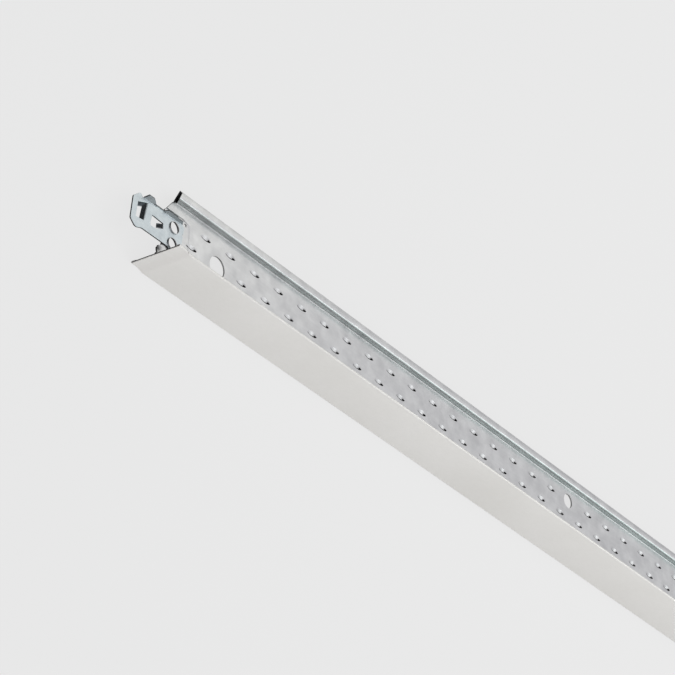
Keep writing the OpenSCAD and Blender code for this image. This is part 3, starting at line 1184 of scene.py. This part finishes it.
@dataclass
class StitchRows:
    """The two rows of stitches that hold the web's layers together, made by Geometry Nodes."""

    sizes: TeeSizes

    def tree(self) -> bpy.types.NodeTree:
        """The node tree: two lines of points, less those near holes, each with a stitch.

        Returns:
            The tree, with its sizes as named inputs.
        """
        tree = bpy.data.node_groups.new("stitch_rows", "GeometryNodeTree")
        for name, kind in (
            ("Stitch", "NodeSocketObject"),
            ("Finish", "NodeSocketMaterial"),
            ("Torn Shade Finish", "NodeSocketMaterial"),
            ("Count", "NodeSocketInt"),
            ("Pitch", "NodeSocketFloat"),
            ("First", "NodeSocketFloat"),
            ("Lower Height", "NodeSocketFloat"),
            ("Upper Height", "NodeSocketFloat"),
            ("Hanger Place", "NodeSocketFloat"),
            ("Hanger Mirror", "NodeSocketFloat"),
            ("Hanger Room", "NodeSocketFloat"),
            ("Small Offset", "NodeSocketFloat"),
            ("Small Pitch", "NodeSocketFloat"),
            ("Small Room", "NodeSocketFloat"),
        ):
            tree.interface.new_socket(name=name, in_out="INPUT", socket_type=kind)
        tree.interface.new_socket(name="Geometry", in_out="OUTPUT", socket_type="NodeSocketGeometry")
        given = add_node(tree, "NodeGroupInput").outputs
        unit = add_node(tree, "GeometryNodeObjectInfo", {"Object": given["Stitch"]}).outputs["Geometry"]
        along = add_node(tree, "GeometryNodeInputPosition").outputs["Position"]
        known: dict[str | float, Any] = {socket.name: socket for socket in given}
        known["X"] = add_node(tree, "ShaderNodeSeparateXYZ", {0: along}).outputs["X"]
        # Each line is a sum: its name, what it does, and the two things that it takes
        for name, how, a, b in (
            ("Half Pitch", "MULTIPLY", "Pitch", 0.5),
            ("Upper First", "ADD", "First", "Half Pitch"),
            ("From Hanger", "SUBTRACT", "X", "Hanger Place"),
            ("Hanger Gap", "ABSOLUTE", "From Hanger", 0.0),
            ("At Hanger", "LESS_THAN", "Hanger Gap", "Hanger Room"),
            ("From Mirror", "SUBTRACT", "X", "Hanger Mirror"),
            ("Mirror Gap", "ABSOLUTE", "From Mirror", 0.0),
            ("At Mirror", "LESS_THAN", "Mirror Gap", "Hanger Room"),
            ("Near Hanger", "MAXIMUM", "At Hanger", "At Mirror"),
            ("Shifted", "ADD", "X", "Small Offset"),
            ("Half Small", "MULTIPLY", "Small Pitch", 0.5),
            ("From Small", "PINGPONG", "Shifted", "Half Small"),
            ("Near Small", "LESS_THAN", "From Small", "Small Room"),
        ):
            terms = {0: known.get(a, a), 1: known.get(b, b)}
            known[name] = add_node(tree, "ShaderNodeMath", terms, operation=how).outputs[0]
        step = add_node(tree, "ShaderNodeCombineXYZ", {"X": known["Pitch"]}).outputs[0]
        both = add_node(tree, "GeometryNodeJoinGeometry")
        for first, height, drop in (
            ("First", "Lower Height", "Near Hanger"),
            ("Upper First", "Upper Height", "Near Small"),
        ):
            start = add_node(tree, "ShaderNodeCombineXYZ", {"X": known[first], "Z": known[height]})
            line = add_node(
                tree,
                "GeometryNodeMeshLine",
                {"Count": known["Count"], "Start Location": start.outputs[0], "Offset": step},
                mode="OFFSET",
                count_mode="TOTAL",
            )
            kept = add_node(
                tree,
                "GeometryNodeDeleteGeometry",
                {"Geometry": line.outputs["Mesh"], "Selection": known[drop]},
                domain="POINT",
            )
            tree.links.new(kept.outputs["Geometry"], both.inputs[0])
        put = add_node(tree, "GeometryNodeInstanceOnPoints", {"Points": both.outputs[0], "Instance": unit})
        real = add_node(tree, "GeometryNodeRealizeInstances", {"Geometry": put.outputs["Instances"]})
        dressed = add_node(
            tree,
            "GeometryNodeSetMaterial",
            {"Geometry": real.outputs["Geometry"], "Material": given["Finish"]},
        )
        # The torn faces take the nearly black material that paints the shade in each stitch's tear
        torn = add_node(tree, "GeometryNodeInputNamedAttribute", {"Name": TORN_SHADE_MASK}, data_type="BOOLEAN")
        ready = add_node(
            tree,
            "GeometryNodeSetMaterial",
            {
                "Geometry": dressed.outputs["Geometry"],
                "Selection": torn.outputs["Attribute"],
                "Material": given["Torn Shade Finish"],
            },
        )
        add_node(tree, "NodeGroupOutput", {"Geometry": ready.outputs["Geometry"]})
        return tree

    def build(self, finish: bpy.types.Material, torn: bpy.types.Material) -> bpy.types.Object:
        """Builds both rows as one piece.

        Args:
            finish: its material.
            torn: the material of its torn faces, nearly black as painted shade.

        Returns:
            The piece.
        """
        s = self.sizes
        unit = show("stitch_unit", Stitch(s).mesh())
        carrier = show("stitch_carrier", bpy.data.meshes.new("stitch_carrier"))
        tree = self.tree()
        values = {
            "Stitch": unit,
            "Finish": finish,
            "Torn Shade Finish": torn,
            "Count": 1 + int((s.flange_l - 2 * s.stitch_x) / s.stitch_pitch),
            "Pitch": s.stitch_pitch,
            "First": s.stitch_x,
            "Lower Height": s.lower_row_z,
            "Upper Height": s.upper_row_z,
            "Hanger Place": s.hanger_x,
            "Hanger Mirror": s.flange_l - s.hanger_x,
            "Hanger Room": (s.hanger_d + s.stitch_l) / 2,
            "Small Offset": s.flange_w / 2,
            "Small Pitch": s.hole_pitch,
            "Small Room": (s.small_d + s.stitch_l) / 2,
        }
        modifier = carrier.modifiers.new("stitch_rows", "NODES")
        modifier.node_group = tree
        for item in tree.interface.items_tree:
            if item.in_out == "INPUT":
                modifier[item.identifier] = values[item.name]
        graph = bpy.context.evaluated_depsgraph_get()
        mesh = bpy.data.meshes.new_from_object(carrier.evaluated_get(graph))
        bpy.data.objects.remove(carrier)
        bpy.data.objects.remove(unit)
        mesh.name = "web_stitches"
        mesh.transform(s.laid())
        for polygon in mesh.polygons:
            polygon.use_smooth = True
        mesh.set_sharp_from_angle(angle=math.radians(SHARP_DEG))
        return show("web_stitches", mesh)


@dataclass
class FaceCap:
    """The painted strip under the flange, hemmed over both of its edges."""

    sizes: TeeSizes
    lip_ease: float = 0.08
    hem_steps: int = 12
    inner_steps: int = 6
    nick_x: float = 4.0
    nick_l: float = 1.3
    nick_run: float = 0.05
    nick_depth: float = 0.2
    shell: Shell = field(default_factory=Shell)

    def section(self) -> list[Flat]:
        """The hemmed section.

        Returns:
            Closed loop across and up.
        """
        s = self.sizes
        mid = s.hem_t / 2
        lip = s.flange_w / 2 - s.hem_w
        right = arc((s.low_y, mid), mid, -90.0, 90.0, self.hem_steps)
        right += [(lip + self.lip_ease, s.hem_t), (lip, s.hem_t - self.lip_ease), (lip, s.flange_top)]
        right += arc((s.low_y, mid), s.strip_t / 2, 90.0, -90.0, self.inner_steps)
        return right + [(-y, z) for y, z in reversed(right)]

    def nicked(self, x: float, y: float, z: float) -> Solid:
        """A point of the hem, pushed in where the joggling die nicks the front hem of each end.

        Args:
            x: place along the tee.
            y: place across it.
            z: height.

        Returns:
            The point.
        """
        s = self.sizes
        for along, side in ((x, y), (s.flange_l - x, -y)):
            if self.nick_x < along < self.nick_x + self.nick_l and side < -s.low_y + s.strip_t:
                return (x, y + math.copysign(self.nick_depth, -y), z)
        return (x, y, z)

    def build(self, finishes: Sequence[bpy.types.Material]) -> bpy.types.Object:
        """Builds the cap as one piece.

        Args:
            finishes: the materials of surface and sheared edge, whose dark is partly painted shade.

        Returns:
            The piece.
        """
        s = self.sizes
        start, end = self.nick_x, self.nick_x + self.nick_l
        nick = [start, start + self.nick_run, end - self.nick_run, end]
        places = sorted(s.stations() + nick + [s.flange_l - x for x in nick])
        rings = [[self.nicked(x, y, z + s.lift(x)) for y, z in self.section()] for x in places]
        self.shell.loft(rings, Face.SURFACE)
        return show("painted_cap", self.shell.mesh("painted_cap", self.sizes.laid(), finishes))


@dataclass(frozen=True)
class Tab:
    """A tongue or ear that is bent out of the clip's plate."""

    start: Flat
    end: Flat
    out: Flat
    to_back: bool
    bend: float
    reach: float
    taper: Flat = (0.0, 0.0)
    radius: float = 0.5
    steps: int = 6


@dataclass
class EndClip:
    """A stamped lock clip with two windows, sprung tongues and bent ears."""

    sizes: TeeSizes
    far_end: bool
    reach: float = 16.35
    seat: float = 14.2
    corner: float = 0.5
    ease: float = 0.07
    hole_play: float = 0.05
    tongue_bend: float = 42.0
    ear_bend: float = 63.0
    # Corners of the plate, anticlockwise from its tip. The rear edge's run from the seat's end. Heights run
    # from the plate's lower edge or, where they are called high or upper, from its upper edge.
    tip_low: float = 1.25
    lower_edge: Points = (
        (-13.6, -0.95),
        (-12.4, -1.05),
        (-9.8, -0.1),
        (-9.0, 0.0),
        (5.7, 0.0),
        (7.0, -1.3),
    )
    rear_low: Points = ((-1.3, -1.3), (-0.6, 5.0), (-0.3, 8.4), (-0.8, 8.6), (-0.7, 9.3), (-0.2, 9.4))
    rear_high: Points = ((0.2, -0.8), (-0.9, 0.0))
    upper_edge: Points = ((-9.9, -0.2), (-10.5, -0.4), (-11.25, 0.9), (-12.45, 0.85))
    tip_high: Flat = (0.55, -2.0)
    # Corners of the two windows
    first_low: Points = ((-13.45, 3.3), (-8.75, 3.8))
    first_high: Points = ((-7.35, -1.1), (-12.9, -3.3))
    second_low: Points = ((-4.9, 3.7), (-1.5, 3.95), (2.4, 6.0), (2.3, 8.2), (-4.3, 8.6), (-4.9, 5.6))
    window_r: float = 0.35
    # Tongues: both ends of the bend, and the reach
    tongues: tuple[tuple[Flat, Flat, float], ...] = (
        ((-8.75, 3.9), (-7.5, 11.7), 1.5),
        ((-7.7, 10.3), (-7.45, 11.9), 3.3),
        ((2.4, 6.1), (2.4, 7.9), 2.3),
    )
    # Ears and lip: where the bend starts and ends along the tee, the reach, and how far both sides taper in
    ears: tuple[tuple[float, float, float, Flat], ...] = (
        (-9.8, -2.4, 2.1, (1.0, 3.4)),
        (-4.0, 2.8, 0.4, (0.0, 0.0)),
        (1.6, 9.2, 1.5, (1.5, 0.3)),
        (8.9, 13.0, 1.2, (0.0, 0.9)),
    )
    ear_drop: float = 0.25
    shell: Shell = field(default_factory=Shell)

    def outline(self) -> list[Flat]:
        """The plate's outer loop.

        Returns:
            The rounded loop along and up, anticlockwise.
        """
        low, high, seat, tip = self.sizes.clip_z, self.sizes.clip_top, self.seat, -self.reach
        corners = [(tip, low + self.tip_low)]
        corners += [(x, low + z) for x, z in self.lower_edge]
        corners += [(seat + x, low + z) for x, z in self.rear_low]
        corners += [(seat + x, high + z) for x, z in self.rear_high]
        corners += [(x, high + z) for x, z in self.upper_edge]
        corners.append((tip + self.tip_high[0], high + self.tip_high[1]))
        return rounded(corners, self.corner)

    def windows(self) -> list[list[Flat]]:
        """The two windows that the tongues are cut from.

        Returns:
            Their rounded loops along and up, anticlockwise.
        """
        low, high = self.sizes.clip_z, self.sizes.clip_top
        first = [(x, low + z) for x, z in self.first_low] + [(x, high + z) for x, z in self.first_high]
        second = [(x, low + z) for x, z in self.second_low]
        return [rounded(first, self.window_r), rounded(second, self.window_r)]

    def tabs(self) -> list[Tab]:
        """The bent tongues and ears.

        Returns:
            The tongues, which bend to the back, and then the ears, which bend to the front.
        """
        left, up = (-1.0, 0.0), (0.0, 1.0)
        low, root = self.sizes.clip_z, self.sizes.clip_top - self.ear_drop
        tongues = [
            Tab((x, low + z), (end_x, low + end_z), left, True, self.tongue_bend, reach)
            for (x, z), (end_x, end_z), reach in self.tongues
        ]
        ears = [
            Tab((start, root), (end, root), up, False, self.ear_bend, reach, taper)
            for start, end, reach, taper in self.ears
        ]
        return tongues + ears

    def place(self, point: Solid) -> Solid:
        """A point of the clip at its own end of the tee."""
        return self.sizes.turned(point) if self.far_end else point

    def build_tab(self, tab: Tab) -> None:
        """Adds one bent tab.

        Args:
            tab: where it is and how it is bent.
        """
        s = self.sizes
        middle = (s.clip_y + s.clip_back_y) / 2
        a = Vector((tab.start[0], middle, tab.start[1]))
        b = Vector((tab.end[0], middle, tab.end[1]))
        out = Vector((tab.out[0], 0.0, tab.out[1]))
        turn = Vector((0.0, 1.0 if tab.to_back else -1.0, 0.0))
        along = (b - a).normalized()
        rings = []
        for k in range(tab.steps + 2):
            angle = math.radians(tab.bend * min(k / tab.steps, 1.0))
            far = tab.reach if k > tab.steps else 0.0
            ahead = out * math.cos(angle) + turn * math.sin(angle)
            aside = turn * math.cos(angle) - out * math.sin(angle)
            centre = out * tab.radius * math.sin(angle) + turn * tab.radius * (1 - math.cos(angle))
            centre += ahead * far
            share = 1.0 if far else 0.0
            first = a + centre + along * tab.taper[0] * share
            last = b + centre - along * tab.taper[1] * share
            thick = aside * s.clip_t / 2
            corners = (first - thick, last - thick, last + thick, first + thick)
            rings.append([self.place(tuple(p)) for p in corners])
        self.shell.loft(rings)

    def build(self, name: str, finishes: Sequence[bpy.types.Material]) -> bpy.types.Object:
        """Builds the clip as one piece.

        Args:
            name: its name.
            finishes: the materials of surface and sheared edge, whose dark is partly painted shade.

        Returns:
            The piece.
        """
        s = self.sizes
        collar = Collar(s)
        hole_d = 2 * (collar.inner_d / 2 + collar.wall + self.hole_play)
        holes = self.windows() + [ring(middle, hole_d, HOLE_STEPS) for middle in collar.places()]
        outline = self.outline()
        creases = [inset(outline, self.ease)] + [inset(hole, -self.ease) for hole in holes]
        self.shell.sheet(
            outline,
            holes,
            creases,
            lambda x, z: s.clip_y,
            lambda x, z: s.clip_back_y,
            self.ease,
            self.place,
        )
        for tab in self.tabs():
            self.build_tab(tab)
        return show(name, self.shell.mesh(name, s.laid(), finishes))


# Stage


@dataclass(frozen=True)
class Panel:
    """A soft studio panel."""

    name: str
    place: Solid
    aim: Solid
    size: Flat
    power: float
    colour: str
    mirrored: bool = True

    def put(self) -> None:
        """Hangs the panel in the scene."""
        light = bpy.data.lights.new(self.name, "AREA")
        light.shape = "RECTANGLE"
        light.size, light.size_y = self.size
        light.energy = self.power
        light.color = linear(self.colour)[:3]
        lamp = bpy.data.objects.new(self.name, light)
        lamp.location = self.place
        lamp.visible_glossy = self.mirrored
        lamp.rotation_euler = (Vector(self.aim) - Vector(self.place)).to_track_quat("-Z", "Y").to_euler()
        bpy.context.scene.collection.objects.link(lamp)


@dataclass(frozen=True)
class Lobe:
    """A soft patch of light, or below nought a dark flag, so far off that it is alike along the tee."""

    way: Solid
    inner_deg: float
    outer_deg: float
    strength: float
    colour: str = "#FAFAFC"


@dataclass(frozen=True)
class Studio:
    """The pale floor, the soft panels and the camera of the photograph."""

    sizes: TeeSizes
    # The photograph's camera in the tee's own millimetres and axes
    eye: Solid = (-681.328, -618.755, -557.778)
    right: Solid = (0.591338, -0.804992, 0.048033)
    forward: Solid = (0.684297, 0.532409, 0.498275)
    lens: float = 152.57
    sensor: float = 36.0
    clip_from: float = 0.01
    clip_to: float = 50.0
    floor_half: float = 6.0
    floor_colour: str = "#4A4A4A"
    floor_roughness: float = 0.9
    floor_glow_colour: str = "#F2F2F2"
    floor_glow: float = 0.84
    sky: str = "#FAFAFC"
    sky_strength: float = 0.4
    lobes: tuple[Lobe, ...] = (
        Lobe((0.62, 0.42, 0.66), 12.0, 36.0, 0.7),
        Lobe((0.684, -0.1, 0.72), 5.0, 14.0, 1.9),
        Lobe((0.82, -0.25, 0.52), 4.0, 20.0, 0.8, "#CCFFF4"),
        Lobe((0.684, 0.71, -0.17), 6.0, 22.0, 0.6),
        Lobe((-0.47, -0.5, 0.72), 20.0, 60.0, 0.5),
        # Dark flags, for walls that face the first end and for the clip's tongues
        Lobe((-0.684, 0.33, -0.65), 28.0, 55.0, -0.18),
        Lobe((-0.5, 0.75, 0.45), 36.0, 56.0, -0.39),
    )
    panels: tuple[Panel, ...] = (
        Panel("key_panel", (-0.2, 0.6, 0.24), (-0.55, 0.0, 0.0), (0.35, 0.35), 0.21, "#FDFFF2"),
        Panel("fill_panel", (0.15, -1.0, 0.25), (0.1, 0.0, 0.0), (2.4, 0.7), 4.8, "#FFFEFC"),
        Panel("end_panel", (-1.3, -0.7, 0.25), (-0.6, 0.0, 0.0), (0.8, 0.6), 0.8, "#FFFEFC", mirrored=False),
        Panel("top_panel", (-0.1, 0.1, 0.6), (-0.15, 0.0, 0.0), (0.7, 0.5), 1.9, "#FFFEFC", mirrored=False),
    )

    def camera(self) -> None:
        """Sets up the camera where the photograph was taken from."""
        laid = self.sizes.laid()
        turn = laid.to_3x3()
        right = (turn @ Vector(self.right)).normalized()
        forward = (turn @ Vector(self.forward)).normalized()
        up = right.cross(forward)
        data = bpy.data.cameras.new("photo_camera")
        data.lens = self.lens
        data.sensor_width = self.sensor
        data.clip_start = self.clip_from
        data.clip_end = self.clip_to
        camera = bpy.data.objects.new("photo_camera", data)
        axes = Matrix((right, up, -forward)).transposed().to_4x4()
        camera.matrix_world = Matrix.Translation(laid @ Vector(self.eye)) @ axes
        bpy.context.scene.collection.objects.link(camera)
        bpy.context.scene.camera = camera

    def floor(self) -> None:
        """Lays the pale floor, which glows as evenly as the photograph's ground and lights nothing."""
        half = self.floor_half
        mesh = bpy.data.meshes.new("floor")
        corners = [(-half, -half, 0.0), (half, -half, 0.0), (half, half, 0.0), (-half, half, 0.0)]
        mesh.from_pydata(corners, [], [(0, 1, 2, 3)])
        made = bpy.data.materials.new("floor_matt_paper")
        made.use_nodes = True
        tree = made.node_tree
        tree.nodes.clear()
        shader = add_node(
            tree,
            "ShaderNodeBsdfPrincipled",
            {
                "Base Color": linear(self.floor_colour),
                "Roughness": self.floor_roughness,
                "Specular IOR Level": 0.0,
                "Emission Color": linear(self.floor_glow_colour),
                "Emission Strength": self.floor_glow,
            },
        )
        add_node(tree, "ShaderNodeOutputMaterial", {"Surface": shader.outputs["BSDF"]})
        mesh.materials.append(made)
        piece = show("floor", mesh)
        piece.visible_diffuse = False
        piece.visible_glossy = False
        piece.visible_shadow = False

    def world(self) -> None:
        """Sets the even light of the room, with its soft lobes and its dark flags."""
        world = bpy.data.worlds.new("studio")
        world.use_nodes = True
        tree = world.node_tree
        tree.nodes.clear()
        way = add_node(tree, "ShaderNodeTexCoord").outputs["Generated"]
        sky = {0: linear(self.sky)[:3], "Scale": self.sky_strength}
        light = add_node(tree, "ShaderNodeVectorMath", sky, operation="SCALE")
        for lobe in self.lobes:
            aim = tuple(Vector(lobe.way).normalized())
            near = add_node(tree, "ShaderNodeVectorMath", {0: way, 1: aim}, operation="DOT_PRODUCT")
            glow = add_node(
                tree,
                "ShaderNodeMapRange",
                {
                    "Value": near.outputs["Value"],
                    "From Min": math.cos(math.radians(lobe.outer_deg)),
                    "From Max": math.cos(math.radians(lobe.inner_deg)),
                    "To Max": lobe.strength,
                },
                interpolation_type="SMOOTHSTEP",
            )
            tint = {0: linear(lobe.colour)[:3], "Scale": glow.outputs["Result"]}
            tinted = add_node(tree, "ShaderNodeVectorMath", tint, operation="SCALE")
            both = {0: light.outputs["Vector"], 1: tinted.outputs["Vector"]}
            light = add_node(tree, "ShaderNodeVectorMath", both, operation="ADD")
        back = add_node(tree, "ShaderNodeBackground", {"Color": light.outputs["Vector"], "Strength": 1.0})
        add_node(tree, "ShaderNodeOutputWorld", {"Surface": back.outputs["Background"]})
        bpy.context.scene.world = world
        bpy.context.scene.view_settings.view_transform = "Standard"

    def build(self) -> None:
        """Builds floor, light and camera."""
        self.world()
        self.floor()
        for panel in self.panels:
            panel.put()
        self.camera()


def dress(piece: bpy.types.Object, slot: Slot, nodes: Iterable[str] = ()) -> None:
    """Fixes a piece to the part.

    Args:
        piece: the piece.
        slot: the record's slot that its finish belongs to; not used.
        nodes: the solids that it stands for.
    """
    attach(piece, "root")
    for node in nodes:
        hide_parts(node)
    LOG.info("%s: %d faces", piece.name, len(piece.data.polygons))


def main() -> None:
    logging.basicConfig(level=logging.INFO, format="%(name)s: %(message)s")
    sizes = TeeSizes()
    strip, paint, zinc = (f.material() for f in (GALVANISED, COIL_COAT, ZINC_PLATE))
    # edge is the sheared-edge finish, darkened further as painted shade; torn is the nearly black painted
    # shade of the stitches' torn faces
    edge, wall, torn = (f.material() for f in (SHEARED_EDGE_AND_SHADE, PUNCHED_WALL, TORN_LANCE_SHADE))
    dress(TeeStrip(sizes).build((strip, edge, wall)), Slot.STRIP, ["tee_body"])
    dress(StitchRows(sizes).build(strip, torn), Slot.STRIP)
    dress(FaceCap(sizes).build((paint, edge)), Slot.PAINT, ["face_cap"])
    dress(EndClip(sizes, far_end=False).build("lock_clip_a", (zinc, edge)), Slot.CLIP, ["clip_a"])
    dress(EndClip(sizes, far_end=True).build("lock_clip_b", (zinc, edge)), Slot.CLIP, ["clip_b"])
    Studio(sizes).build()


if __name__ == "__main__":
    main()
